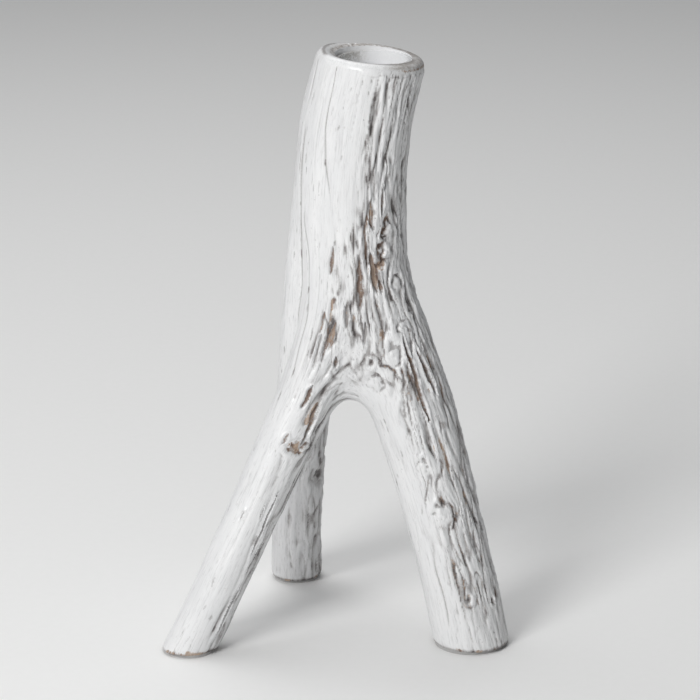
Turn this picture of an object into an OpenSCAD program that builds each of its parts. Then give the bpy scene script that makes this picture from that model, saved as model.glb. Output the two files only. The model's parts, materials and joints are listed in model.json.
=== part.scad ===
// Branch candlestick: a leaning trunk that forks into three splayed legs, with a candle cup let into its
// tilted top. The trunk and each leg are a separate piece of round timber. The legs meet the trunk's
// level underside and are held by glued dowels along their own axes. The cup is screwed into a
// blind bore, and each foot stands on a felt pad. X runs left to right, Y front to back and Z up. The
// origin lies on the table, in the middle of the space that the object covers.

/* [Trunk] */
// Height of the middle of the tilted rim above the table
rim_z = 195; // [170:1:240]
// Sideways place of the middle of the rim
rim_x = 12.5; // [4:0.5:16]
// Radius of the trunk at the rim
rim_r = 17; // [16:0.5:22]
// Tilt of the rim, falling towards the right leg, in degrees
rim_tilt = 7; // [0:0.5:10]
// Height of the narrowest stretch of the trunk
waist_z = 149; // [125:1:155]
// Sideways place of the trunk at its waist
waist_x = 6; // [2:0.5:10]
// Radius of the trunk at its waist
waist_r = 17; // [15:0.5:22]
// Depth position of the trunk at the waist and the rim
trunk_y = -6; // [-10:0.5:-2]
// Width of the worn, rounded shoulder around the rim
shoulder_w = 2.8; // [1:0.1:3]
// Drop of that rounded shoulder
shoulder_h = 2; // [0.5:0.1:4]

/* [Fork] */
// Height of the level joint between the trunk and its legs
fork_z = 80; // [60:1:98]
// Sideways place of the trunk's core at the joint
core_x = 10; // [6:0.5:14]
// Depth position of the trunk's core at the joint
core_y = -9; // [-12:0.5:-4]
// Radius of the trunk's core at the joint
core_r = 9; // [7:0.5:14]
// Width of the webs that the legs' swellings leave between them
web_w = 6; // [3:0.5:10]

/* [Left leg] */
// Left foot's centre, sideways
left_foot_x = -48.5; // [-60:0.5:-40]
// Left foot's centre, front to back
left_foot_y = -34.5; // [-42:0.5:-28]
// Radius of the left foot
left_foot_r = 8.5; // [7:0.5:11]
// Left leg's middle, sideways
left_knee_x = -29.5; // [-36:0.5:-24]
// Left leg's middle, front to back
left_knee_y = -26.5; // [-32:0.5:-20]
// Radius of the left leg at its middle
left_knee_r = 8.5; // [7:0.5:11]
// Left leg's top, sideways
left_fork_x = -10.5; // [-14:0.5:-7]
// Left leg's top, front to back
left_fork_y = -17; // [-20:0.5:-14]
// Radius of the left leg at its top
left_fork_r = 9.5; // [8:0.5:11.5]
// Height at which the left leg's swelling is lost in the trunk
left_lobe_z = 140; // [115:1:160]

/* [Right leg] */
// Right foot's centre, sideways
right_foot_x = 45; // [38:0.5:55]
// Right foot's centre, front to back
right_foot_y = -28; // [-36:0.5:-20]
// Radius of the right foot
right_foot_r = 12.5; // [10:0.5:15]
// Right leg's middle, sideways
right_knee_x = 36; // [30:0.5:42]
// Right leg's middle, front to back
right_knee_y = -21; // [-28:0.5:-16]
// Radius of the right leg at its middle
right_knee_r = 12.5; // [10:0.5:15]
// Right leg's top, sideways
right_fork_x = 24.5; // [20:0.5:28]
// Right leg's top, front to back
right_fork_y = -14; // [-18:0.5:-10]
// Radius of the right leg at its top
right_fork_r = 13.5; // [11:0.5:15]
// Height at which the right leg's swelling is lost in the trunk
right_lobe_z = 140; // [115:1:160]

/* [Rear leg] */
// Rear foot's centre, sideways
rear_foot_x = -13.5; // [-22:0.5:-5]
// Rear foot's centre, front to back
rear_foot_y = 34; // [28:0.5:44]
// Radius of the rear foot
rear_foot_r = 8.5; // [7:0.5:11]
// Rear leg's middle, sideways
rear_knee_x = -12.5; // [-18:0.5:-6]
// Rear leg's middle, front to back
rear_knee_y = 21; // [16:0.5:27]
// Radius of the rear leg at its middle
rear_knee_r = 8.5; // [7:0.5:11]
// Rear leg's top, sideways
rear_fork_x = -10; // [-14:0.5:-7]
// Rear leg's top, front to back
rear_fork_y = 9; // [7:0.5:12]
// Radius of the rear leg at its top
rear_fork_r = 9.5; // [8:0.5:11]
// Height at which the rear leg's swelling is lost in the trunk
rear_lobe_z = 172; // [130:1:180]

/* [Bark] */
// Height of the long shallow ridges of the bark
ridge_h = 0.5; // [0:0.1:1]
// Ridges around the trunk
trunk_ridges = 12; // [0:1:14]
// Ridges around each leg
leg_ridges = 7; // [0:1:9]

/* [Candle cup] */
// Diameter of the candle that the cup takes
candle_d = 22; // [18:0.1:24]
// Radial clearance between the candle and the cup
candle_gap = 0.3; // [0.1:0.05:0.5]
// Depth of the cup's straight wall
cup_depth = 15; // [12:0.5:17]
// Thickness of the cup's wall
cup_wall = 0.6; // [0.4:0.1:1]
// Thickness of the cup's floor
cup_floor = 2.2; // [1.8:0.1:3]
// Width of the lip outside the cup's wall
lip_w = 0.6; // [0.3:0.1:1.2]
// Thickness of the lip
lip_t = 0.8; // [0.4:0.1:1.5]
// Drop of the lip's top below the middle of the rim
cup_drop = 1.2; // [0.5:0.1:2.5]
// Radial clearance of the cup in its bore
cup_gap = 0.05; // [0.02:0.01:0.2]
// Radius of the shallow dish at the rim
dish_r = 14; // [12:0.1:14.5]
// Radius of the round tool that cuts the dish
dish_tool_r = 40; // [25:1:80]
// Shift of the dish towards the left
dish_shift = 1.8; // [0:0.1:2.2]

/* [Cup screw] */
// Diameter of the screw's shank
screw_d = 3.5; // [2.5:0.1:4]
// Diameter of the screw's countersunk head
screw_head_d = 6.8; // [5:0.1:8]
// Overall length of the screw
screw_l = 16; // [12:1:25]

/* [Dowels] */
// Diameter of the right leg's dowel
right_dowel_d = 8; // [6:0.5:12]
// Diameter of the left leg's dowel
left_dowel_d = 6; // [4:0.5:8]
// Diameter of the rear leg's dowel
rear_dowel_d = 6; // [4:0.5:8]
// Length of each dowel
dowel_l = 36; // [24:1:44]
// Radial glue gap around each dowel
glue_gap = 0.05; // [0.02:0.01:0.15]
// Room for glue beyond each end of a dowel
glue_room = 1; // [0.5:0.1:2]
// Bevel on a dowel's ends
dowel_bevel = 0.8; // [0.3:0.1:1]

/* [Felt pads] */
// Thickness of the felt under each foot
pad_t = 1; // [0.5:0.1:3]
// How far a pad stays inside its foot's edge
pad_inset = 0.8; // [0.3:0.1:2]

/* [Hidden] */
// A station is [x, y, radius]. A leg has one at its foot, one at half its height and one at the fork.
LEFT = [[left_foot_x, left_foot_y, left_foot_r], [left_knee_x, left_knee_y, left_knee_r],
    [left_fork_x, left_fork_y, left_fork_r]];
RIGHT = [[right_foot_x, right_foot_y, right_foot_r], [right_knee_x, right_knee_y, right_knee_r],
    [right_fork_x, right_fork_y, right_fork_r]];
REAR = [[rear_foot_x, rear_foot_y, rear_foot_r], [rear_knee_x, rear_knee_y, rear_knee_r],
    [rear_fork_x, rear_fork_y, rear_fork_r]];
RIM = [rim_x, trunk_y, rim_r];
WAIST = [waist_x, trunk_y, waist_r];
CORE = [core_x, core_y, core_r];
// A swelling ends inside the trunk, this much nearer to it and this much slimmer.
lobe_inset = 2.5;
left_lobe = [waist_x - lobe_inset, trunk_y - 2, waist_r - 4.5];
right_lobe = [waist_x + 1, trunk_y - 1, waist_r - 5.5];
rear_lobe = [waist_x - 6, trunk_y + 3, waist_r - 5.5];
// Loss of a swelling's radius per millimetre above its end height
lobe_taper = 0.11;
// The roundness of the joins between the swellings
merge = 16;
trunk_sides = 72;
trunk_step = 5;
leg_sides = 36;
leg_rings = 16;
shoulder_steps = 5;
ridge_turn = 0.35;
// Turn of a round hole about its own axis, which keeps its seam off the highest point of its mouth
seam_turn = 75;
// The cup and its screw
candle_r = candle_d / 2;
cup_r = candle_r + candle_gap;
cup_outer_r = cup_r + cup_wall;
cup_top = rim_z - cup_drop;
cup_base = cup_top - cup_depth - cup_floor;
lip_r = cup_outer_r + lip_w;
floor_top = cup_base + cup_floor;
screw_r = screw_d / 2;
screw_head_r = screw_head_d / 2;
head_h = screw_head_r - screw_r;
head_sink = 0.1;
screw_gap = 0.1;
thread_gap = 0.02;
screw_point = 3;
beyond = 10;
round_fn = 96;

// The value at share t of a smooth curve through a, b and c at shares 0, 0.5 and 1
function through(a, b, c, t) = a * 2 * (t - 0.5) * (t - 1) + b * 4 * t * (1 - t) + c * 2 * t * (t - 0.5);

// The slope of that curve at its end, per unit of t
function end_slope(a, b, c) = a - 4 * b + 3 * c;

// Station of a leg at height z
function leg_at(leg, z) = through(leg[0], leg[1], leg[2], z / fork_z);

// How far a leg's axis moves in x and y for each millimetre of height, at the joint
function leg_lean(leg) = [for (i = [0, 1]) end_slope(leg[0][i], leg[1][i], leg[2][i]) / fork_z];

// Station of a leg's swelling above the joint. It goes on along the leg, turns into the trunk, and from
// end_z up it follows the trunk and tapers away.
function lobe_at(leg, end, end_z, z) = let (t = min(1, (z - fork_z) / (end_z - fork_z)))
    let (lean = leg_lean(leg), aim = leg[2] + [lean[0], lean[1], 0] * (end_z - fork_z) / 2)
    let (s = leg[2] * (1 - t) * (1 - t) + aim * 2 * t * (1 - t) + end * t * t)
    let (past = max(0, z - end_z), drift = trunk_at(z) - trunk_at(min(z, end_z)))
    [s[0] + drift[0], s[1] + drift[1], leg[2][2] + (end[2] - leg[2][2]) * t - past * lobe_taper];

// Share of the way from the waist to the rim, or from the waist down to the joint
function above_waist(z) = max(0, (z - waist_z) / (rim_z - waist_z));
function below_waist(z) = max(0, (waist_z - z) / (waist_z - fork_z));

// Station of the trunk itself at height z
function trunk_at(z) = let (up = pow(above_waist(z), 2), down = pow(below_waist(z), 2))
    let (s = WAIST + (RIM - WAIST) * up + (CORE - WAIST) * down)
    [s[0], s[1], waist_r + (rim_r - waist_r) * up + (core_r - waist_r) * down * down];

// How far a ray from the trunk's axis, at bearing a, reaches in a round limb whose station is s and
// whose lean stretches its level section. Just past the limb's side the reach fades into a web.
function reach(s, hub, lean, a) = let (k = sqrt(1 + lean * lean))
    let (t = norm(lean) > 0 ? lean / norm(lean) : [1, 0])
    let (n = [-t[1], t[0]], u = [cos(a), sin(a)], c = [s[0] - hub[0], s[1] - hub[1]])
    let (u2 = [u * t / k, u * n], c2 = [c * t / k, c * n])
    let (along = u2 * c2, size = u2 * u2, room = along * along - size * (c2 * c2 - s[2] * s[2]))
    room >= 0 ? max(0, along + sqrt(room)) / size : max(0, along) / size * exp(room / (web_w * web_w));

// Height of the bark's ridges at bearing a: they wander a little with height
function ridges(count, a, z) = count == 0 ? 0
    : ridge_h * (sin(count * a + z * count * ridge_turn) + 0.6 * sin((count - 2) * a - z * 3.1)) / 2;

// Radius of the trunk piece at bearing a and height z
function trunk_reach(a, z) = let (hub = trunk_at(z), up = 1 - below_waist(z))
    let (limbs = [reach(lobe_at(LEFT, left_lobe, left_lobe_z, z), hub, leg_lean(LEFT) * (1 - up), a),
        reach(lobe_at(RIGHT, right_lobe, right_lobe_z, z), hub, leg_lean(RIGHT) * (1 - up), a),
        reach(lobe_at(REAR, rear_lobe, rear_lobe_z, z), hub, leg_lean(REAR) * (1 - up), a)])
    let (sum = pow(hub[2], merge) + pow(limbs[0], merge) + pow(limbs[1], merge) + pow(limbs[2], merge))
    pow(sum, 1 / merge) + ridges(trunk_ridges, a, z) * min(1, (z - fork_z) / trunk_step);

// A level ring of the trunk piece, tilted more and more towards the rim
function trunk_ring(z, inset) = let (hub = trunk_at(z), tilt = tan(rim_tilt) * pow(above_waist(z), 2))
    [for (i = [0 : trunk_sides - 1]) let (a = i * 360 / trunk_sides, r = trunk_reach(a, z) - inset)
        [hub[0] + r * cos(a), hub[1] + r * sin(a), z - tilt * (hub[0] + r * cos(a) - rim_x)]];

// A level ring of a leg, stretched along the way in which the leg leans there
function leg_ring(leg, z) = let (s = leg_at(leg, z), d = (leg_at(leg, z + 1) - s), lean = [d[0], d[1]])
    let (k = sqrt(1 + lean * lean), t = lean / norm(lean), fade = min(1, (fork_z - z) / trunk_step))
    [for (i = [0 : leg_sides - 1]) let (a = i * 360 / leg_sides, r = s[2] + fade * ridges(leg_ridges, a, z))
        let (along = r * k * cos(a), across = r * sin(a))
        [s[0] + along * t[0] - across * t[1], s[1] + along * t[1] + across * t[0], z]];

// The middle of a ring
function middle(ring) = [for (i = [0 : 2]) [for (p = ring) p[i]] * [for (p = ring) 1] / len(ring)];

// A closed solid through rings of the same number of points, from the lowest to the highest
module skin(rings) {
    n = len(rings[0]);
    m = len(rings);
    points = [for (ring = rings) each ring, middle(rings[0]), middle(rings[m - 1])];
    sides = [for (j = [0 : m - 2]) for (i = [0 : n - 1]) let (k = (i + 1) % n)
        each [[j * n + i, (j + 1) * n + i, (j + 1) * n + k], [j * n + i, (j + 1) * n + k, j * n + k]]];
    bottom = [for (i = [0 : n - 1]) [m * n, i, (i + 1) % n]];
    top = [for (i = [0 : n - 1]) [m * n + 1, (m - 1) * n + (i + 1) % n, (m - 1) * n + i]];
    polyhedron(points = points, faces = concat(sides, bottom, top));
}

// Puts its children on a leg's top, with their Z along the leg
module on_leg_top(leg) {
    lean = leg_lean(leg);
    translate([leg[2][0], leg[2][1], fork_z])
        rotate([0, atan(norm(lean)), atan2(lean[1], lean[0])])
            children();
}

// The blind holes for a leg's dowel, which leave room for glue all round
module dowel_hole(leg, d) {
    on_leg_top(leg)
        rotate([0, 0, seam_turn])
            cylinder(r = d / 2 + glue_gap, h = dowel_l + 2 * glue_room, center = true, $fn = round_fn);
}

// A round dowel with beveled ends, half in the leg and half in the trunk
module dowel(leg, d) {
    r = d / 2;
    on_leg_top(leg)
        rotate_extrude($fn = round_fn)
            polygon([[0, -dowel_l / 2], [r - dowel_bevel, -dowel_l / 2], [r, dowel_bevel - dowel_l / 2],
                [r, dowel_l / 2 - dowel_bevel], [r - dowel_bevel, dowel_l / 2], [0, dowel_l / 2]]);
}

// One leg, from its felt pad to the joint
module leg(stations, dowel_d) {
    difference() {
        skin([for (i = [0 : leg_rings]) leg_ring(stations, pad_t + (fork_z - pad_t) * i / leg_rings)]);
        dowel_hole(stations, dowel_d);
    }
}

// A felt disc under a foot
module pad(stations) {
    foot = leg_at(stations, pad_t);
    translate([foot[0], foot[1], 0])
        cylinder(r = foot[2] - pad_inset, h = pad_t, $fn = round_fn);
}

// What is cut out of the trunk's top: a shallow dish, the lip's seat, the cup's bore and the pilot hole
module cup_seat() {
    translate([rim_x, trunk_y, rim_z])
        rotate([0, rim_tilt, 0])
            translate([-dish_shift, 0, sqrt(dish_tool_r * dish_tool_r - dish_r * dish_r)])
                sphere(r = dish_tool_r, $fn = round_fn);
    translate([rim_x, trunk_y, 0])
        rotate([0, 0, seam_turn]) {
            translate([0, 0, cup_top - lip_t])
                cylinder(r = lip_r + cup_gap, h = lip_t + beyond, $fn = round_fn);
            translate([0, 0, cup_base])
                cylinder(r = cup_outer_r + cup_gap, h = beyond + cup_depth, $fn = round_fn);
            translate([0, 0, floor_top - screw_l - screw_point / 2])
                cylinder(r = screw_r + thread_gap, h = screw_l, $fn = round_fn);
        }
}

module stem() {
    body_h = rim_z - shoulder_h - fork_z;
    steps = ceil(body_h / trunk_step);
    body = [for (i = [0 : steps - 1]) trunk_ring(fork_z + body_h * i / steps, 0)];
    shoulder = [for (i = [0 : shoulder_steps]) let (a = i * 90 / shoulder_steps)
        trunk_ring(rim_z - shoulder_h * (1 - sin(a)), shoulder_w * (1 - cos(a)))];
    color("gainsboro")
        difference() {
            skin(concat(body, shoulder));
            cup_seat();
            dowel_hole(LEFT, left_dowel_d);
            dowel_hole(RIGHT, right_dowel_d);
            dowel_hole(REAR, rear_dowel_d);
        }
}

module left_leg() {
    color("whitesmoke")
        leg(LEFT, left_dowel_d);
}

module right_leg() {
    color("lightgray")
        leg(RIGHT, right_dowel_d);
}

module rear_leg() {
    color("silver")
        leg(REAR, rear_dowel_d);
}

module left_dowel() {
    color("burlywood")
        dowel(LEFT, left_dowel_d);
}

module right_dowel() {
    color("burlywood")
        dowel(RIGHT, right_dowel_d);
}

module rear_dowel() {
    color("burlywood")
        dowel(REAR, rear_dowel_d);
}

// The cup: a straight wall for the candle, a thick floor with a countersunk hole, and a narrow lip
module candle_cup() {
    hole_r = screw_r + screw_gap;
    sink_r = screw_head_r + screw_gap;
    color("white")
        translate([rim_x, trunk_y, 0])
            rotate_extrude($fn = round_fn)
                polygon([[hole_r, cup_base], [cup_outer_r, cup_base], [cup_outer_r, cup_top - lip_t],
                    [lip_r, cup_top - lip_t], [lip_r, cup_top - lip_t / 2], [lip_r - lip_t / 2, cup_top],
                    [cup_r, cup_top], [cup_r, floor_top], [sink_r, floor_top],
                    [hole_r, floor_top - (sink_r - hole_r)]]);
}

// The countersunk screw that holds the cup
module cup_screw() {
    top = floor_top - head_sink;
    color("silver")
        translate([rim_x, trunk_y, 0])
            rotate_extrude($fn = round_fn)
                polygon([[0, top], [screw_head_r, top], [screw_r, top - head_h],
                    [screw_r, floor_top - screw_l + screw_point], [0, floor_top - screw_l]]);
}

module left_pad() {
    color("dimgray")
        pad(LEFT);
}

module right_pad() {
    color("dimgray")
        pad(RIGHT);
}

module rear_pad() {
    color("dimgray")
        pad(REAR);
}

stem();
left_leg();
right_leg();
rear_leg();
left_dowel();
right_dowel();
rear_dowel();
candle_cup();
cup_screw();
left_pad();
right_pad();
rear_pad();
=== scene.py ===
"""Looks of the branch candlestick: bark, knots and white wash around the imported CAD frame.

The trunk and the three legs are sculpted as one rounded volume, so that the bark runs on over the
joints, and are then cut apart along the CAD's joint. Lengths in the sculpting part are millimetres.
"""

import json
import math

import bmesh
import bpy
import numpy as np
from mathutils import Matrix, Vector

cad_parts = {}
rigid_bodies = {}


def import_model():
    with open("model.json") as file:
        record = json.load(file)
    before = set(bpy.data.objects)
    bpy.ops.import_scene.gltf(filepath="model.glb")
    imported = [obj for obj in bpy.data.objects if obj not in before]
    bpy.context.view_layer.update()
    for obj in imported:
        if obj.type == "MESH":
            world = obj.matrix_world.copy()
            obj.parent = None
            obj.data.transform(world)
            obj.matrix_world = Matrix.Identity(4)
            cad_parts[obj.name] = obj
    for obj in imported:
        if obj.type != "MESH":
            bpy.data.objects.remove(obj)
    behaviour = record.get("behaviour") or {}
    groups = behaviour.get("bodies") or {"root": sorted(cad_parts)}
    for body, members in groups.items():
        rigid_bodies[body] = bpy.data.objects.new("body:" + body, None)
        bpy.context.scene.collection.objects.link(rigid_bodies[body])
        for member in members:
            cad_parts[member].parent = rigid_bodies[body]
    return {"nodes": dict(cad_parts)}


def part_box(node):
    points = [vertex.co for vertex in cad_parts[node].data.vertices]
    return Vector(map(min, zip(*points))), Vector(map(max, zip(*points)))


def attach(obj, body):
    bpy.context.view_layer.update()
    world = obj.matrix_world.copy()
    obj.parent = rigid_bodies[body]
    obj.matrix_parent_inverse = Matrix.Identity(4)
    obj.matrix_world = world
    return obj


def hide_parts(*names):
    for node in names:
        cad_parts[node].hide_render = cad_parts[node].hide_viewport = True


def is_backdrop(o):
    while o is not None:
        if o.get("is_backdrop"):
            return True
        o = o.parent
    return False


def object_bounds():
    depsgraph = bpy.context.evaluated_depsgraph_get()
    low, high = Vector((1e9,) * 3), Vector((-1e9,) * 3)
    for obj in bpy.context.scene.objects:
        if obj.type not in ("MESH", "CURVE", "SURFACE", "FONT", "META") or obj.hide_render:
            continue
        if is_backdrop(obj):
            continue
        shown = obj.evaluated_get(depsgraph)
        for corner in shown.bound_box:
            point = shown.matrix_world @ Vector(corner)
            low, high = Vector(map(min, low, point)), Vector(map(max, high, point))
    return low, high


for leftover in list(bpy.data.objects):
    bpy.data.objects.remove(leftover)
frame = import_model()
cad_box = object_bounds()
MM = 0.001
nodes = frame["nodes"]
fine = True


def box_mm(node):
    """Lowest and highest corner of a CAD node, in millimetres."""
    low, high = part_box(node)
    return np.array(low) / MM, np.array(high) / MM


# ---------------------------------------------------------------- sizes, from the frame where it has them
cup_low, cup_high = box_mm("candle_cup")
SOLE_Z = box_mm("left_leg")[0][2]
FORK_Z = box_mm("stem")[0][2]
CUP_DROP = 1.2
RIM = np.array([(cup_low[0] + cup_high[0]) / 2, (cup_low[1] + cup_high[1]) / 2, cup_high[2] + CUP_DROP])
RIM_R = 17.0
RIM_TILT = math.radians(7)
RIM_NORMAL = np.array([math.sin(RIM_TILT), 0, math.cos(RIM_TILT)])
RIM_SIDE = np.array([math.cos(RIM_TILT), 0, -math.sin(RIM_TILT)])
# The trunk's stations [x, y, radius] at its waist and at the joint
WAIST = np.array([6.0, RIM[1], 17.0])
WAIST_Z = 149.0
CORE = np.array([10.0, -9.0, 9.0])
# Where a leg's swelling ends inside the trunk, and at what height
LOBES = {
    "left": (np.array([3.5, -8.0, 12.5]), 140.0),
    "right": (np.array([7.0, -7.0, 11.5]), 140.0),
    "rear": (np.array([0.0, -3.0, 11.5]), 172.0),
}
# Loss of a swelling's radius per millimetre, well above its end
LOBE_TAPER = 0.11
# The middle of the calmer bark between the two front legs
CROTCH = (2.0, -20.0, 90.0)
# The wash stands a little proud of the turned rim, and fills the dish except on its left.
RIM_RAISE = 0.45
DISH_R = 12.3
DISH_TOOL_R = 32.0
DISH_SHIFT = 3.0
# The holes cut out of the bark, as in the CAD
GLUE_GAP = 0.05
LIP_R = 12.5
LIP_T = 0.8
CUP_R = 11.9
PILOT_R = 1.77
PILOT_PAST_TIP = 1.5
DOWEL_R = {"left": 3, "right": 4, "rear": 3}
DOWEL_HOLE_L = 38
DRILL_TOP_Z = 210
DRILL_SIDES = 96
# Spacing of the grid on which the solid's skin is found
GRID = 0.95 if fine else 1.3
SLABS = 24
# The sculpted legs are longer than the real ones, and are cut off at the sole.
END_Z = SOLE_Z - 3


# ---------------------------------------------------------------- the limbs
def section(node, height):
    """[x, y, radius] of a CAD leg's level section nearest to a height, and that section's own height."""
    mesh = nodes[node].data
    co = np.empty(len(mesh.vertices) * 3)
    mesh.vertices.foreach_get("co", co)
    co = co.reshape(-1, 3) / MM
    z = co[np.abs(co[:, 2] - height).argmin(), 2]
    ring = co[np.abs(co[:, 2] - z) < 0.05, :2]
    middle = (ring.max(0) + ring.min(0)) / 2
    reach = np.linalg.norm(ring - middle, axis=1)
    return np.array([*middle, reach[reach > 0.6 * reach.max()].mean()]), z


def leg_curve(node):
    """Parabolas for x, y and radius of a leg against height, through its foot, middle and top."""
    rows = [section(node, z) for z in (SOLE_Z, FORK_Z / 2, FORK_Z)]
    heights = [z for _, z in rows]
    curve = np.polyfit(heights, np.array([s for s, _ in rows]), 2)
    slope = 2 * curve[0, :2] * FORK_Z / 2 + curve[1, :2]
    # A leaning round limb's level section is an ellipse, so its mean reach is more than its radius.
    stretch = (1 + math.sqrt(1 + slope @ slope)) / 2
    curve[:, 2] /= stretch
    return curve


LEGS = {side: leg_curve(side + "_leg") for side in ("left", "right", "rear")}


def trunk(z):
    """Station [x, y, radius] and slope [dx, dy] of the trunk's axis at heights z."""
    up = np.clip((z - WAIST_Z) / (RIM[2] - WAIST_Z), 0, None)
    down = np.clip((WAIST_Z - z) / (WAIST_Z - FORK_Z), 0, None)
    rise = np.array([RIM[0], RIM[1], RIM_R]) - WAIST
    fall = CORE - WAIST
    x = WAIST[0] + rise[0] * up**2 + fall[0] * down**2
    y = WAIST[1] + rise[1] * up**2 + fall[1] * down**2
    r = WAIST[2] + rise[2] * up**2 + fall[2] * down**4
    dx = 2 * rise[0] * up / (RIM[2] - WAIST_Z) - 2 * fall[0] * down / (WAIST_Z - FORK_Z)
    dy = 2 * rise[1] * up / (RIM[2] - WAIST_Z) - 2 * fall[1] * down / (WAIST_Z - FORK_Z)
    return x, y, r, dx, dy


def limb(side, z):
    """The same for a leg, which goes on above the fork as a swelling of the trunk."""
    curve = LEGS[side]
    end, end_z = LOBES[side]
    low = np.minimum(z, FORK_Z)
    leg = [curve[0, i] * low**2 + curve[1, i] * low + curve[2, i] for i in range(3)]
    lean = [2 * curve[0, i] * low + curve[1, i] for i in range(2)]
    top = curve[0] * FORK_Z**2 + curve[1] * FORK_Z + curve[2]
    top_lean = 2 * curve[0, :2] * FORK_Z + curve[1, :2]
    t = np.clip((z - FORK_Z) / (end_z - FORK_Z), 0, 1)
    above = z > FORK_Z
    past = np.clip(z - end_z, 0, None)
    follow = trunk(z)
    held = trunk(np.minimum(z, end_z))
    out = []
    for i in range(2):
        aim = top[i] + top_lean[i] * (end_z - FORK_Z) / 2
        bezier = top[i] * (1 - t) ** 2 + 2 * aim * t * (1 - t) + end[i] * t**2
        out.append(np.where(above, bezier + follow[i] - held[i], leg[i]))
    radius = top[2] + (end[2] - top[2]) * t - LOBE_TAPER * past**2 / (past + 10)
    out.append(np.where(above, radius, leg[2]))
    for i in range(2):
        aim = top[i] + top_lean[i] * (end_z - FORK_Z) / 2
        slope = 2 * ((aim - top[i]) * (1 - t) + (end[i] - aim) * t) / (end_z - FORK_Z)
        slope = np.where(past > 0, follow[3 + i], slope)
        out.append(np.where(above, slope, lean[i]))
    return out


def limb_distance(x, y, station):
    """Distance to the skin of a limb, from its axis' place and slope at the same height."""
    cx, cy, r, dx, dy = station
    px = x - cx
    py = y - cy
    along = (px * dx + py * dy) / np.sqrt(1 + dx * dx + dy * dy)
    return np.sqrt(np.maximum(px * px + py * py - along * along, 0)) - r


def soft_min(a, b, k):
    """The smaller of two distances, rounded off where they differ by less than k."""
    h = np.clip(k - np.abs(a - b), 0, None) / k
    return np.minimum(a, b) - h * h * k / 4


def soft_max(a, b, k):
    return -soft_min(-a, -b, k)


def ramp(a, b, x):
    """A smooth step from 0 where x is a to 1 where x is b."""
    t = np.clip((x - a) / (b - a), 0, 1)
    return t * t * (3 - 2 * t)


def fields(x, y, z):
    """Distances to the left, right and rear limbs and to the trunk's core."""
    found = [limb_distance(x, y, limb(side, z)) for side in ("left", "right", "rear")]
    core = limb_distance(x, y, trunk(z))
    # The core ends in a round bottom between the legs, near the joint.
    core = soft_max(core, FORK_Z + 2.2 - z, 7.0)
    return found, core


def rim_height(x, y, z):
    """Height above the rim's tilted plane."""
    return (x - RIM[0]) * RIM_NORMAL[0] + (z - RIM[2]) * RIM_NORMAL[2]


def solid(x, y, z):
    """Signed distance to the whole timber, before any bark."""
    (left, right, rear), core = fields(x, y, z)
    # The limbs flow together softly at the fork, and with tighter valleys further up.
    k = 9.0 - 6.0 * ramp(FORK_Z, FORK_Z + 40, z)
    body = soft_min(core, right, k)
    body = soft_min(body, left, k)
    body = soft_min(body, rear, np.minimum(k, 4.0))
    body = soft_max(body, rim_height(x, y, z) - RIM_RAISE, 3.4)
    tool = RIM - RIM_SIDE * DISH_SHIFT + RIM_NORMAL * math.sqrt(DISH_TOOL_R**2 - DISH_R**2)
    dish = DISH_TOOL_R - np.sqrt((x - tool[0]) ** 2 + (y - tool[1]) ** 2 + (z - tool[2]) ** 2)
    return np.maximum(soft_max(body, dish, 1.2), END_Z - z)


def slope_of(p, step=0.2):
    """Gradient of the solid's distance at points p."""
    out = np.empty_like(p)
    for i in range(3):
        q = p.copy()
        q[:, i] += step
        high = solid(q[:, 0], q[:, 1], q[:, 2])
        q[:, i] -= 2 * step
        out[:, i] = (high - solid(q[:, 0], q[:, 1], q[:, 2])) / (2 * step)
    return out


def onto_skin(p, rounds):
    """Moves points onto the solid's skin."""
    for _ in range(rounds):
        g = slope_of(p)
        d = solid(p[:, 0], p[:, 1], p[:, 2])
        p = p - g * (d / np.maximum((g * g).sum(1), 0.05))[:, None]
    return p


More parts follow.
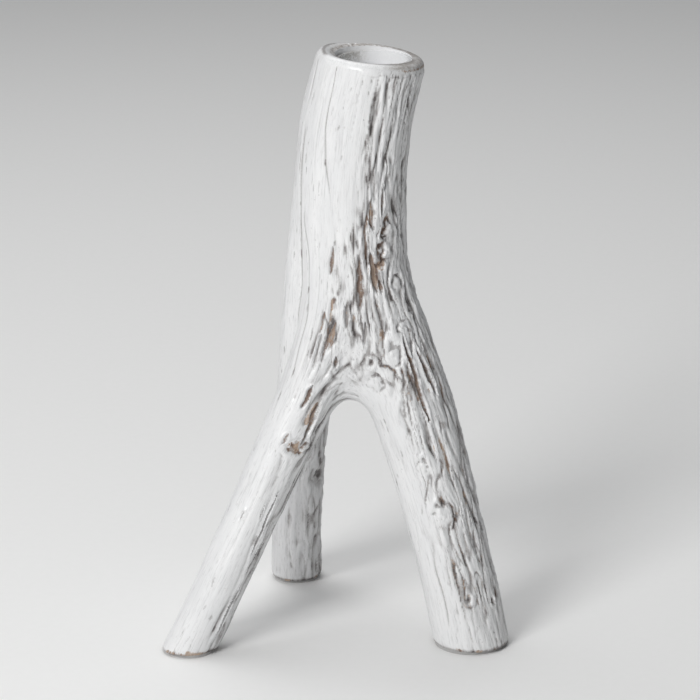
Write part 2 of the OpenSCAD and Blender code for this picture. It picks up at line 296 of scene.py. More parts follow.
# ---------------------------------------------------------------- a quad mesh of the solid
def net_of_solid():
    """Points and quads of the solid's skin, from a grid whose mixed cells each get one point."""
    low = np.array([*cad_box[0]]) / MM - [6, 6, 5]
    high = np.array([*cad_box[1]]) / MM + [6, 6, 4]
    axes = [np.arange(low[i], high[i], GRID) for i in range(3)]
    x, y = axes[0][:, None, None], axes[1][None, :, None]
    # In slabs, to save memory
    slabs = np.array_split(axes[2], SLABS)
    value = np.concatenate([solid(x, y, z[None, None, :]).astype(np.float32) for z in slabs], axis=2)
    inside = value < 0
    corners = [(i, j, k) for i in (0, 1) for j in (0, 1) for k in (0, 1)]
    n = [s - 1 for s in value.shape]

    def corner(array, c):
        return array[c[0]:c[0] + n[0], c[1]:c[1] + n[1], c[2]:c[2] + n[2]]

    count = sum(corner(inside, c).astype(np.int8) for c in corners)
    cells = np.argwhere((count > 0) & (count < 8))
    number = np.full(n, -1, np.int64)
    number[tuple(cells.T)] = np.arange(len(cells))
    total = np.zeros((len(cells), 3))
    crossings = np.zeros(len(cells))
    for a in corners:
        for axis in range(3):
            if a[axis]:
                continue
            b = list(a)
            b[axis] = 1
            va = value[tuple((cells + a).T)]
            vb = value[tuple((cells + b).T)]
            cut = (va < 0) != (vb < 0)
            share = np.where(cut, va / np.where(cut, va - vb, 1), 0)
            place = np.array(a, float) + share[:, None] * (np.array(b) - a)
            total += place * cut[:, None]
            crossings += cut
    points = low + (cells + total / crossings[:, None]) * GRID
    quads = []
    for axis in range(3):
        u, v = [i for i in range(3) if i != axis]
        step = np.zeros(3, int)
        step[axis] = 1
        here = inside[tuple(slice(0, s - d) for s, d in zip(inside.shape, step))]
        there = inside[tuple(slice(d, None) for d in step)]
        edges = np.argwhere(here != there)
        edges = edges[(edges[:, u] > 0) & (edges[:, v] > 0) & (edges[:, u] < n[u]) & (edges[:, v] < n[v])]
        outward = here[tuple(edges.T)]
        ring = []
        for du, dv in ((1, 1), (0, 1), (0, 0), (1, 0)):
            cell = edges.copy()
            cell[:, u] -= du
            cell[:, v] -= dv
            ring.append(number[tuple(cell.T)])
        quad = np.stack(ring, 1)
        flip = outward if axis == 1 else ~outward
        quad[flip] = quad[flip][:, ::-1]
        quads.append(quad)
    return points, np.concatenate(quads)


def split(points, quads, extras):
    """Cuts every quad into four. extras are arrays of values per point, which are averaged."""
    edges = np.sort(np.stack([quads, np.roll(quads, -1, 1)], 2).reshape(-1, 2), 1)
    pairs, back = np.unique(edges, axis=0, return_inverse=True)
    back = back.reshape(-1, 4)
    n, m = len(points), len(pairs)

    def grown(a):
        return np.concatenate([a, (a[pairs[:, 0]] + a[pairs[:, 1]]) / 2, a[quads].mean(1)])

    centre = n + m + np.arange(len(quads))
    small = [np.stack([quads[:, i], n + back[:, i], centre, n + back[:, i - 1]], 1) for i in range(4)]
    return grown(points), np.concatenate(small), [grown(e) for e in extras]


def around(values, quads):
    """Mean of each column of values over every point's neighbours."""
    a, b = quads.ravel(), np.roll(quads, -1, 1).ravel()
    n = len(values)
    count = np.bincount(a, minlength=n) + np.bincount(b, minlength=n)
    columns = [np.bincount(a, c[b], n) + np.bincount(b, c[a], n) for c in values.T]
    return np.stack(columns, 1) / count[:, None]


def relax(points, quads, rounds):
    """Evens out the quads by moving points along the skin."""
    for _ in range(rounds):
        points = onto_skin((points + around(points, quads)) / 2, 1)
    return points


def cavities(relief, quads, rounds=10):
    """How far each point lies below the relief around it, in millimetres."""
    smooth = relief[:, None]
    for _ in range(rounds):
        smooth = around(smooth, quads)
    return smooth[:, 0] - relief


# ---------------------------------------------------------------- noise
rng = np.random.default_rng(7)
SHUFFLE = rng.permutation(256)
SHUFFLE = np.concatenate([SHUFFLE, SHUFFLE, SHUFFLE])
ARROWS = rng.normal(size=(256, 3))
ARROWS /= np.linalg.norm(ARROWS, axis=1)[:, None]


def lattice(i, j, k):
    return SHUFFLE[SHUFFLE[SHUFFLE[i & 255] + (j & 255)] + (k & 255)]


def wave(x, y, z):
    """Smooth noise from about -1 to 1, with bumps one unit across."""
    base = [np.floor(c).astype(np.int64) for c in (x, y, z)]
    part = [c - b for c, b in zip((x, y, z), base)]
    fade = [t * t * t * (t * (t * 6 - 15) + 10) for t in part]
    total = 0
    for i in (0, 1):
        for j in (0, 1):
            for k in (0, 1):
                arrow = ARROWS[lattice(base[0] + i, base[1] + j, base[2] + k)]
                dot = arrow[:, 0] * (part[0] - i) + arrow[:, 1] * (part[1] - j) + arrow[:, 2] * (part[2] - k)
                weight = [f if c else 1 - f for c, f in zip((i, j, k), fade)]
                total = total + dot * weight[0] * weight[1] * weight[2]
    return total * 1.6


# ---------------------------------------------------------------- the grain
def weights(p):
    """How much each limb and the core own a point, and their slopes there."""
    x, y, z = p.T
    stations = [limb(side, z) for side in ("left", "right", "rear")] + [list(trunk(z))]
    gaps = np.stack([limb_distance(x, y, s) for s in stations])
    # Below the fork the core is only a knot of wood between the legs.
    gaps[3] += 6 * ramp(FORK_Z + 16, FORK_Z - 2, z)
    share = np.exp(-(gaps - gaps.min(0)) / 2.5)
    share /= share.sum(0)
    return share, stations, gaps


def grain_of(p):
    """Places of points along the grain: across it as two lengths in the waist's section, and up it."""
    q = p.copy()
    step = 2.5
    travelled = np.zeros(len(p))
    for _ in range(int((WAIST_Z - SOLE_Z) / step) + 2):
        below = q[:, 2] < WAIST_Z
        if not below.any():
            break
        r = q[below]
        share, stations, _ = weights(r)
        dx = sum(w * s[3] for w, s in zip(share, stations))
        dy = sum(w * s[4] for w, s in zip(share, stations))
        rise = np.minimum(step, WAIST_Z - r[:, 2])
        r = r + np.stack([dx * rise, dy * rise, rise], 1)
        travelled[below] += rise * np.sqrt(1 + dx * dx + dy * dy)
        r[:, 2] = np.where(WAIST_Z - r[:, 2] < 1e-6, WAIST_Z, r[:, 2])
        q[below] = r
    above = p[:, 2] > WAIST_Z
    axis = trunk(p[:, 2])
    q[above, 0] = p[above, 0] - axis[0][above] + WAIST[0]
    q[above, 1] = p[above, 1] - axis[1][above] + WAIST[1]
    along = np.where(above, p[:, 2] - WAIST_Z, -travelled)
    return np.stack([q[:, 0] - WAIST[0], q[:, 1] - WAIST[1], along], 1)


# ---------------------------------------------------------------- knots and worn places
def knot(place, radius, rise, ring, turn, open_side, stain, tall=1.25):
    """A knot: how high its middle stands, how deep its ring is, where the ring is deepest and how open it is,
    how brown it is, and how much taller than wide."""
    return dict(place=np.array(place), radius=radius, rise=rise, ring=ring, turn=math.radians(turn),
                open_side=open_side, stain=stain, tall=tall)


KNOTS = [
    knot((17.5, -18.5, 140.0), 2.4, 0.60, 1.20, 150, 0.9, 1.0),
    knot((16.8, -19.5, 133.4), 2.5, 0.60, 1.20, 200, 0.9, 1.0),
    knot((14.6, -21.0, 128.7), 1.2, -1.10, 0.20, 0, 0.0, 0.9, 1.1),
    knot((19.9, -17.5, 121.4), 1.9, 0.45, 0.80, 85, 1.0, 0.2),
    knot((24.0, -17.5, 112.5), 1.0, -0.70, 0.20, 0, 0.0, 0.5),
    knot((21.7, -21.0, 107.3), 1.9, 0.50, 0.80, 150, 0.9, 0.25),
    knot((18.9, -23.5, 98.0), 2.5, 0.50, 0.95, 20, 0.9, 0.15, 1.5),
    knot((13.7, -23.0, 89.5), 2.9, 0.60, 1.05, 40, 0.8, 0.25, 1.0),
    knot((12.1, -22.0, 96.5), 1.0, -0.90, 0.20, 0, 0.0, 0.3),
    knot((-12.9, -28.0, 68.9), 2.5, -0.45, 0.55, 250, 0.4, 1.0, 0.8),
    knot((28.5, -29.5, 62.3), 1.9, 0.40, 0.70, 80, 0.9, 0.2),
    knot((34.8, -32.0, 47.2), 2.4, 0.55, 0.95, 120, 1.0, 0.2),
    knot((43.8, -36.5, 18.4), 0.8, -0.60, 0.10, 0, 0.0, 0.5, 1.8),
    knot((51.0, -32.5, 16.5), 0.7, -0.50, 0.10, 0, 0.0, 0.4, 1.8),
    knot((-5.6, 14.5, 44.5), 2.8, -1.10, 0.30, 0, 0.0, 0.1, 1.3),
    knot((22.0, 4.0, 152.0), 2.6, 0.60, 1.00, 120, 0.7, 0.5),
    knot((45.0, -16.0, 55.0), 2.4, 0.60, 0.90, 240, 0.7, 0.3),
]


def hollow(place, width, length, slant, depth, stain):
    """A spindle-shaped hollow: half its width, half its length, and its lean from upright in degrees."""
    return dict(place=np.array(place), width=width, length=length, slant=math.radians(slant), depth=depth,
                stain=stain)


HOLLOWS = [
    hollow((-1.0, -21.3, 130.0), 1.3, 6.0, 6, 0.7, 0.9),
    hollow((-3.9, -21.0, 109.3), 0.8, 5.0, 14, 0.5, 0.8),
    hollow((8.2, -23.0, 123.5), 1.7, 10.0, -4, 0.9, 1.0),
    hollow((12.7, -21.8, 126.5), 1.6, 8.0, -7, 0.9, 1.0),
    hollow((14.9, -21.0, 121.3), 0.9, 2.6, 0, 0.7, 0.8),
    hollow((-1.6, -22.0, 104.3), 1.2, 8.0, 20, 0.8, 1.0),
    hollow((0.0, -22.5, 96.2), 1.0, 2.4, 5, 0.7, 0.9),
    hollow((12.0, -22.0, 146.0), 1.2, 6.0, -3, 0.7, 0.9),
    hollow((15.4, -20.5, 150.0), 0.8, 6.0, 2, 0.6, 0.6),
    hollow((-9.0, -25.8, 85.3), 1.1, 5.0, 27, 0.7, 1.0),
    hollow((-8.4, -25.6, 76.5), 1.2, 8.0, 27, 0.9, 1.0),
    hollow((26.3, -24.3, 90.5), 0.9, 17.0, -13, 0.9, 1.0),
    hollow((29.4, -21.5, 92.0), 0.9, 10.0, -15, 0.8, 0.9),
    hollow((4.0, -23.0, 112.0), 0.9, 5.0, 3, 0.6, 0.5),
    hollow((9.8, -23.2, 106.0), 0.8, 5.0, 0, 0.7, 0.3),
    hollow((-16.3, -28.0, 71.6), 0.9, 2.6, 30, 0.3, 0.7),
    hollow((-23.3, -33.0, 43.4), 0.42, 15.0, 25, 0.5, 0.0),
    hollow((-35.3, -37.5, 15.3), 0.45, 11.0, 26, 0.6, 0.0),
    hollow((-26.0, -34.3, 33.0), 0.35, 8.0, 30, 0.4, 0.0),
    hollow((-30.2, -32.5, 46.7), 0.35, 2.2, 22, 0.3, 0.0),
    hollow((-23.9, -33.0, 48.0), 0.35, 3.0, 20, 0.3, 0.0),
]


def patch(place, width, height, strength):
    """A place where the wash has worn off the wood: its middle, half its width and half its height."""
    return np.array(place), width, height, strength


WORN = [
    patch((11.0, -22.0, 124.0), 8.0, 22.0, 1.0),
    patch((-1.0, -21.0, 126.0), 3.5, 12.0, 0.9),
    patch((-1.5, -21.5, 105.0), 4.0, 12.0, 0.9),
    patch((13.0, -21.5, 148.0), 5.0, 9.0, 0.8),
    patch((27.0, -22.5, 88.0), 6.0, 20.0, 0.9),
    patch((33.0, -27.0, 62.0), 8.0, 16.0, 0.6),
    patch((-8.5, -26.0, 79.0), 5.0, 12.0, 1.0),
    patch((16.0, 7.0, 120.0), 12.0, 24.0, 0.8),
]


def frame_at(place):
    """The level and the rising direction along the skin at a place."""
    outward = slope_of(place[None, :])[0]
    outward /= np.linalg.norm(outward)
    level = np.cross([0, 0, 1], outward)
    level /= np.linalg.norm(level)
    return level, np.cross(outward, level)


def lines(u, v, w, size, length, shift, bend=0.4):
    """A field that is zero along lines which run with the grain, part and meet again."""
    sway = wave(u / 8 + shift, v / 8, w / 17)
    return wave(u / size + bend * sway + shift, v / size - bend * sway, w / length + shift)


def crest(field, width):
    """A ridge of height 1 along the lines where a field is zero."""
    return np.exp(-((field / width) ** 2))


def add_knots(p, u, v, relief, dark, brown, calm):
    """Adds the knots to the fields, and bends the grain's coordinates u and v around them."""
    for k in KNOTS:
        level, rising = frame_at(k["place"])
        gap = p - k["place"]
        near = np.linalg.norm(gap, axis=1) < 5 * k["radius"]
        g = gap[near]
        layer = np.full(len(g), k["place"][2])
        a = g @ level / k["radius"]
        b = g @ rising / k["radius"] / k["tall"]
        warp = [0.42 * wave(a * 0.9 + i, b * 0.9, layer) + 0.16 * wave(a * 2.6 + i, b * 2.6, layer)
                for i in (5, 25)]
        a = a + warp[0]
        b = b + warp[1]
        far = np.sqrt(a * a + b * b)
        push = 0.85 * np.exp(-((far / 1.9) ** 2))
        u[near] -= g[:, 0] * push
        v[near] -= g[:, 1] * push
        bearing = np.arctan2(b, a)
        share = 1 - k["open_side"] * ramp(0.55, -0.35, np.cos(bearing - k["turn"]))
        ring = np.exp(-(((far - 1) / (0.21 + 0.14 * k["stain"])) ** 2)) * share
        middle = np.exp(-((far / 0.72) ** 4))
        wall = np.exp(-(((far - 1.65) / 0.38) ** 2)) * (0.15 + 0.85 * share)
        swirl = np.sin(3 * bearing + 6 * far) * np.exp(-((far / 1.3) ** 2))
        ring *= 0.15 + 0.85 * ramp(-0.45, 0.10, wave(a * 2.1 + 3, b * 2.1, layer))
        lumps = 0.22 * wave(a * 2.4 + 41, b * 2.4, layer) * np.exp(-((far / 1.5) ** 4))
        relief[near] += k["rise"] * middle - k["ring"] * ring + 0.30 * wall + 0.16 * swirl + lumps
        hole = middle if k["rise"] < 0 else 0 * middle
        dark[near] += np.clip(0.8 * ring * k["ring"] * (0.6 + 0.4 * k["stain"]) + hole, 0, 1)
        brown[near] += k["stain"] * np.clip(1.2 * ring + 1.1 * hole, 0, 1)
        calm[near] *= 1 - 0.8 * np.exp(-((far / 1.1) ** 4))


def add_hollows(p, relief, dark, brown, calm):
    """Adds the spindle-shaped hollows to the fields."""
    for h in HOLLOWS:
        level, rising = frame_at(h["place"])
        axis = math.cos(h["slant"]) * rising + math.sin(h["slant"]) * level
        side = math.cos(h["slant"]) * level - math.sin(h["slant"]) * rising
        gap = p - h["place"]
        near = np.linalg.norm(gap, axis=1) < h["length"] + 4
        g = gap[near]
        layer = np.full(len(g), h["place"][2])
        b = g @ axis / h["length"]
        a = g @ side / h["width"] + 0.55 * wave(g @ side / 3, g @ axis / 5, layer)
        room = 1 - b * b - np.abs(a) + 0.25 * wave(g @ side / 0.9, g @ axis / 3, layer)
        inside = ramp(0.0, 0.45, room)
        bank = crest(room + 0.25, 0.35) * ramp(1.25, 0.9, np.abs(b))
        relief[near] += 0.28 * bank - h["depth"] * inside
        brown[near] += h["stain"] * ramp(0.10, 0.50, room)
        dark[near] += 0.5 * inside
        calm[near] *= 1 - 0.75 * inside


def roughness(p, n, flow, share, calm):
    """How rough the bark is at each point: 0 on the smooth wood and 1 where it is roughest."""
    u, v, w = flow
    z = p[:, 2]
    left, right, rear, core = share
    facing = n[:, 0] + 0.10 * wave(u / 7, v / 7, w / 18)
    edge_of_bark = 0.12 - 0.62 * ramp(160, 108, z)
    rough_core = ramp(edge_of_bark - 0.10, edge_of_bark + 0.16, facing)
    rough_right = ramp(-0.42, -0.05, facing) * (0.35 + 0.65 * ramp(2, 26, z))
    rough_left = ramp(-0.15, 0.35, facing) * ramp(44, 74, z)
    rough_left += 0.75 * ramp(0.40, 0.80, facing) * ramp(66, 46, z)
    rough_left += (rough_core - rough_left) * ramp(FORK_Z - 8, FORK_Z + 32, z)
    below = ramp(FORK_Z + 10, FORK_Z - 10, z)
    rough_rear = 0.12 + 0.25 * rough_core + 0.45 * ramp(0.1, 0.7, facing) * below
    rough = (core * rough_core + right * rough_right + left * rough_left + rear * rough_rear) * calm
    crotch = np.exp(-(((p - CROTCH) / 10) ** 2).sum(1))
    return rough * (1 - 0.6 * np.clip(4 * left * right, 0, 1)) * (1 - 0.4 * crotch)


def add_ropes(z, flow, rough, facing_right, relief, dark):
    """Adds ropes of bark that part and meet again, and gives the spindle-shaped pits between them."""
    u, v, w = flow
    fork = crest(lines(u, v, w, 3.7, 25, 0), 0.23)
    other = crest(lines(u, v, w, 3.7, 25, 50), 0.23)
    rope = np.maximum(fork, 0.9 * other)
    pit = ramp(0.42, 0.02, rope)
    deep = ramp(-0.35, 0.45, wave(u / 4 + 11, v / 4, w / 11))
    relief += rough * (0.55 * rope - 0.20 - 0.85 * pit * (0.2 + 0.8 * deep))
    thread = lines(u, v, w, 1.5, 15, 80, 0.3)
    relief += rough * 0.20 * crest(thread, 0.25)
    shade = (0.72 - 0.24 * ramp(138, 165, z)) * (0.55 + 0.45 * ramp(0.0, 0.5, np.abs(thread)))
    # Painted light: the pits are drawn paler where the bark faces right, into the shade.
    shade *= 1 - 0.35 * facing_right
    dark += rough * pit * shade * (0.08 + 0.92 * deep)
    return pit


def add_thin_lines(flow, rough, right, facing_right, relief, dark, brown):
    """Adds thin dark lines in three sizes to the rough bark."""
    u, v, w = flow
    for size, shift, some in ((2.7, 61, -0.35), (1.9, 93, -0.1), (2.3, 140, -0.2)):
        line = crest(lines(u, v, w, size, 34, shift, 0.5), 0.10)
        line *= rough * ramp(some - 0.1, some + 0.4, wave(u / 3 + shift, v / 3, w / 13))
        relief -= 0.30 * line
        # Painted light: the lines are drawn paler where the bark faces right, into the shade.
        dark += (0.9 - 0.15 * right - 0.2 * facing_right) * line
        brown += 0.40 * line * right


def add_cracks(flow, rough, calm, relief, dark):
    """Adds short dashes, long thin cracks in the smooth wood, and a slight unevenness everywhere."""
    u, v, w = flow
    dashes = ramp(0.40, 0.62, wave(u / 0.9 + 7, v / 0.9, w / 4.5))
    dashes = dashes * ramp(-0.25, 0.25, wave(u / 5, v / 5 + 9, w / 16))
    relief -= 0.12 * dashes * calm
    dark += 0.55 * dashes * calm
    plates = (1 - 0.7 * rough) * calm
    for size, shift, width, depth in ((8.0, 20, 0.055, 0.34), (4.2, 33, 0.07, 0.20)):
        some = ramp(-0.05, 0.35, wave(u / 9 + shift, v / 9, w / 26))
        crack = crest(lines(u, v, w, size, 85, shift, 0.15), width) * some * plates
        relief -= depth * crack
        dark += 1.5 * depth * crack
    relief += 0.16 * wave(u / 5, v / 5, w / 50) * calm
    relief += (0.035 + 0.05 * rough) * wave(u / 0.95, v / 0.95, w / 13) * calm
    relief += 0.45 * wave(u / 14, v / 14, w / 38)


def beside_rear_leg(z, gaps):
    """How near a point is to the valley where the rear leg's swelling lies against the trunk."""
    others = np.minimum(np.minimum(gaps[0], gaps[1]), gaps[3])
    return np.exp(-(((gaps[2] - others) / 0.42) ** 2)) * ramp(178, 168, z) * ramp(84, 98, z)


def worn_through(p, flow):
    """How much of the wood in the pits is bare at each point, because the wash has worn off there."""
    u, v, w = flow
    worn = np.zeros(len(p))
    for place, width, height, strength in WORN:
        gap = p - place
        far = (gap[:, 0] ** 2 + gap[:, 1] ** 2) / width**2 + (gap[:, 2] / height) ** 2
        worn = np.maximum(worn, strength * np.exp(-(far**1.5)))
    chosen = ramp(0.05, 0.45, wave(u / 3.5 + 70, v / 3.5, w / 9) + 0.55 * worn - 0.15)
    return chosen * ramp(0.12, 0.5, worn)


def rim_fields(p, n, u, v):
    """At the rim: the share of bark to keep, and the relief, dark, brown and top to add."""
    x, y, z = p.T
    rim = rim_height(x, y, z)
    at_rim = z > WAIST_Z
    rightward = (x - RIM[0]) * RIM_SIDE[0] + (z - RIM[2]) * RIM_SIDE[2]
    back = y - RIM[1]
    out = np.sqrt(rightward**2 + back**2)
    bearing = np.degrees(np.arctan2(back, rightward))
    flat = ramp(0.35, 0.75, n @ RIM_NORMAL) * at_rim
    scallop = -2.9 + 0.8 * wave(u / 2.2, v / 2.2, z * 0)
    under = ramp(scallop + 1.0, scallop - 0.4, rim)
    keep = (1 - flat) * np.where(at_rim, under, 1.0)
    ledge = flat * ramp(1, -5, rightward - 0.5 * back) * ramp(14.6, 13.6, out)
    relief = (0.05 * flat + 0.16 * ledge) * wave(x / 0.9, y / 0.9, z / 0.9)
    top = ledge + 0.80 * flat * ramp(2, 9, rightward) + 0.25 * flat * ramp(0, 8, back)

    # Lines along the rim, each over its own range of bearings: 0 is the right and -90 the front
    breaks = ramp(-0.85, -0.35, wave(x / 1.7, y / 1.7, z / 1.7))
    near_rim = at_rim * ramp(-4, -2, rim)
    right_front = ramp(-72, -50, bearing) * ramp(25, 0, bearing)
    brown = 0.95 * near_rim * crest(rim + 1.1, 0.55) * right_front * breaks
    under_line = at_rim * (1 - flat) * crest(rim - scallop + 0.2, 0.35)
    dark = 0.4 * under_line * ramp(-125, -80, bearing) * ramp(60, 20, bearing)
    behind = ramp(25, 50, bearing) + ramp(-150, -165, bearing)
    dark += 0.85 * near_rim * crest(out - 16.2, 0.8) * behind * (0.5 + 0.5 * breaks)
    # At the mouth's inner edge, from the left round to the front: partly the wash thinning there, partly
    # painted shade of the dish's hollow.
    dark += 0.85 * near_rim * crest(out - 13.2, 1.3) * ramp(-178, -150, bearing) * ramp(10, -20, bearing)
    dark += 0.5 * near_rim * crest(rim + 0.9, 0.7) * ramp(-60, -25, bearing) * ramp(25, 0, bearing)
    return keep, relief, dark, brown, top


def foot_fields(p, left):
    """At the feet: how near a point is to the sole's rounded edge, and the brown chips along it."""
    x, y, z = p.T
    edge = ramp(SOLE_Z + 1.5, SOLE_Z, z)
    chips = ramp(SOLE_Z + 1.5, SOLE_Z + 0.5, z + 0.8 * wave(x / 1.8, y / 1.8, z / 1.8))
    return edge, chips * ramp(0.05, 0.40, wave(x / 5 + 3, y / 5, z / 9) + 0.35 * left)


def bark(p, n, grain):
    """Relief in millimetres at skin points p with outward directions n, and the first five of FIELDS."""
    x, y, z = p.T
    u, v, w = grain.T
    u, v = u.copy(), v.copy()
    flow = (u, v, w)
    relief = np.zeros(len(p))
    dark = np.zeros(len(p))
    brown = np.zeros(len(p))
    calm = np.ones(len(p))
    add_knots(p, u, v, relief, dark, brown, calm)
    add_hollows(p, relief, dark, brown, calm)

    share, _, gaps = weights(p)
    left, right, rear, _ = share
    # Where the bark faces right, into the shade, its pits and lines are painted paler: painted light.
    facing_right = ramp(0.35, 0.95, n[:, 0])
    rough = roughness(p, n, flow, share, calm)
    pit = add_ropes(z, flow, rough, facing_right, relief, dark)
    add_thin_lines(flow, rough, right, facing_right, relief, dark, brown)
    add_cracks(flow, rough, calm, relief, dark)
    valley = beside_rear_leg(z, gaps)
    relief -= 0.42 * valley
    # Painted shade in the valley beside the rear leg's swelling.
    dark += 0.55 * valley
    brown += 1.1 * rough * ramp(0.3, 0.8, pit) * worn_through(p, flow)

    keep, rim_relief, rim_dark, rim_brown, top = rim_fields(p, n, u, v)
    foot_edge, chips = foot_fields(p, left)
    relief = relief * keep + rim_relief
    relief *= 0.45 + 0.55 * ramp(SOLE_Z - 1, SOLE_Z + 5, z)
    relief -= (0.40 + 0.35 * wave(x / 3.5, y / 3.5, z / 3.5)) * foot_edge
    # Along the sole's edge a dark line: partly the bare edge of the wood, partly painted contact shadow.
    dark = dark * keep + rim_dark + 0.8 * foot_edge
    brown = brown * keep + rim_brown + 1.1 * chips
    # Painted shade on the legs' right sides, below the fork
    below = ramp(FORK_Z + 6, FORK_Z - 12, z)
    for of_leg, strength, start in ((rear, 0.30, 0.15), (left, 0.35, 0.50), (right, 0.22, 0.60)):
        dark += below * of_leg * strength * ramp(start, 0.95, n[:, 0])
    # The last value is painted shade on the rear leg below the fork.
    return relief, np.clip(dark, 0, 1), np.clip(brown, 0, 1), np.clip(top, 0, 1), rough, rear * below


# ---------------------------------------------------------------- pieces
FIELDS = ("dark", "brown", "top", "rough", "rear_leg_shade", "cavity")


def new_object(name, mesh):
    made = bpy.data.objects.new(name, mesh)
    bpy.context.scene.collection.objects.link(made)
    return made


def whole_timber():
    """The bark-covered timber in one piece, with its values for the materials at every point."""
    points, quads = net_of_solid()
    points = onto_skin(points, 3)
    points = relax(points, quads, 3)
    grain = grain_of(points)
    points, quads, (grain,) = split(points, quads, [grain])
    points = onto_skin(points, 2)
    outward = slope_of(points)
    outward /= np.linalg.norm(outward, axis=1)[:, None]
    relief, *values = bark(points, outward, grain)
    values.append(cavities(relief, quads))
    points = points + outward * relief[:, None]
    mesh = bpy.data.meshes.new("timber")
    mesh.from_pydata(points * MM, [], quads)
    mesh.validate()
    for name, value in zip(FIELDS, values):
        mesh.attributes.new(name, "FLOAT", "POINT").data.foreach_set("value", value)
    mesh.attributes.new("grain", "FLOAT_VECTOR", "POINT").data.foreach_set("vector", grain.ravel())
    mesh.update()
    return new_object("timber", mesh)


def drill(r, low, high, axis=(0, 0, 1)):
    """A closed cylinder between two points on its axis, all in millimetres."""
    bm = bmesh.new()
    made = bmesh.ops.create_cone(bm, cap_ends=True, segments=DRILL_SIDES, radius1=r * MM, radius2=r * MM,
                                 depth=float(np.linalg.norm(np.subtract(high, low))) * MM)
    turn = Vector((0, 0, 1)).rotation_difference(Vector(axis))
    bmesh.ops.rotate(bm, verts=made["verts"], matrix=turn.to_matrix())
    bmesh.ops.translate(bm, verts=made["verts"], vec=Vector((np.array(low) + high) / 2 * MM))
    mesh = bpy.data.meshes.new("drill")
    bm.to_mesh(mesh)
    bm.free()
    return new_object("drill", mesh)


def discard(thing):
    """Removes an object and its mesh."""
    mesh = thing.data
    bpy.data.objects.remove(thing)
    bpy.data.meshes.remove(mesh)


def cut(piece, tool):
    """Cuts a tool out of a piece, and throws the tool away."""
    step = piece.modifiers.new("cut", "BOOLEAN")
    step.object = tool
    step.operation = "DIFFERENCE"
    step.solver = "MANIFOLD"
    shaped = piece.evaluated_get(bpy.context.evaluated_depsgraph_get())
    old = piece.data
    piece.data = bpy.data.meshes.new_from_object(shaped)
    piece.modifiers.clear()
    bpy.data.meshes.remove(old)
    discard(tool)


def saw(bm, height, keep_above):
    """Cuts a closed mesh off level at a height in millimetres, and closes it again."""
    geometry = [*bm.verts, *bm.edges, *bm.faces]
    sawn = bmesh.ops.bisect_plane(bm, geom=geometry, dist=1e-9, plane_co=(0, 0, height * MM),
                                  plane_no=(0, 0, 1), clear_inner=keep_above, clear_outer=not keep_above)
    edges = [e for e in sawn["geom_cut"] if isinstance(e, bmesh.types.BMEdge)]
    bmesh.ops.triangle_fill(bm, edges=edges, use_beauty=True, normal=(0, 0, -1 if keep_above else 1))


def owner(island):
    """The leg that a loose part belongs to."""
    middle = sum((v.co for v in island), Vector()) / len(island) / MM
    at = {side: limb(side, np.array([middle[2]])) for side in LEGS}
    return min(LEGS, key=lambda side: math.hypot(middle[0] - at[side][0][0], middle[1] - at[side][1][0]))


def islands(bm):
    """The loose parts of a mesh, as sets of vertices."""
    left = set(bm.verts)
    found = []
    while left:
        island = set()
        front = [left.pop()]
        while front:
            v = front.pop()
            island.add(v)
            for e in v.link_edges:
                w = e.other_vert(v)
                if w in left:
                    left.discard(w)
                    front.append(w)
        found.append(island)
    return found


def finished(bm, name):
    """An object from a mesh in the making."""
    bmesh.ops.recalc_face_normals(bm, faces=bm.faces)
    mesh = bpy.data.meshes.new(name)
    bm.to_mesh(mesh)
    return new_object(name, mesh)


def trunk_and_legs(timber):
    """The timber sawn at the joint and at the soles: the trunk's piece, and one piece for each leg."""
    bm = bmesh.new()
    bm.from_mesh(timber.data)
    saw(bm, FORK_Z, True)
    trunk_piece = finished(bm, "trunk_bark")
    bm.free()
    bm = bmesh.new()
    bm.from_mesh(timber.data)
    saw(bm, FORK_Z, False)
    saw(bm, SOLE_Z, True)
    legs = {}
    owners = {}
    for island in islands(bm):
        owners.setdefault(owner(island), set()).update(island)
    for side in LEGS:
        one = bm.copy()
        one.verts.ensure_lookup_table()
        bm.verts.index_update()
        mine = {v.index for v in owners[side]}
        bmesh.ops.delete(one, geom=[v for v in one.verts if v.index not in mine], context="VERTS")
        legs[side] = finished(one, side + "_leg_bark")
        one.free()
    bm.free()
    discard(timber)
    return trunk_piece, legs


def bore_dowel(piece, side):
    """The blind hole for a leg's dowel, round the CAD dowel."""
    low, high = box_mm(side + "_dowel")
    middle = (low + high) / 2
    lean = LEGS[side][0, :2] * 2 * FORK_Z + LEGS[side][1, :2]
    axis = np.array([*lean, 1.0])
    axis /= np.linalg.norm(axis)
    half = axis * DOWEL_HOLE_L / 2
    cut(piece, drill(DOWEL_R[side] + GLUE_GAP, middle - half, middle + half, axis))


def bore_cup(piece):
    """The cup's seat, its bore and the screw's pilot hole in the rim."""
    x, y = RIM[:2]
    screw_tip = box_mm("cup_screw")[0][2]
    for radius, low, high in (
        (LIP_R + GLUE_GAP, cup_high[2] - LIP_T, DRILL_TOP_Z),
        (CUP_R + GLUE_GAP, cup_low[2], DRILL_TOP_Z),
        (PILOT_R, screw_tip - PILOT_PAST_TIP, cup_high[2]),
    ):
        cut(piece, drill(radius, (x, y, low), (x, y, high)))


trunk_bark, leg_barks = trunk_and_legs(whole_timber())
bore_cup(trunk_bark)
for side, leg_bark in leg_barks.items():
    bore_dowel(trunk_bark, side)
    bore_dowel(leg_bark, side)


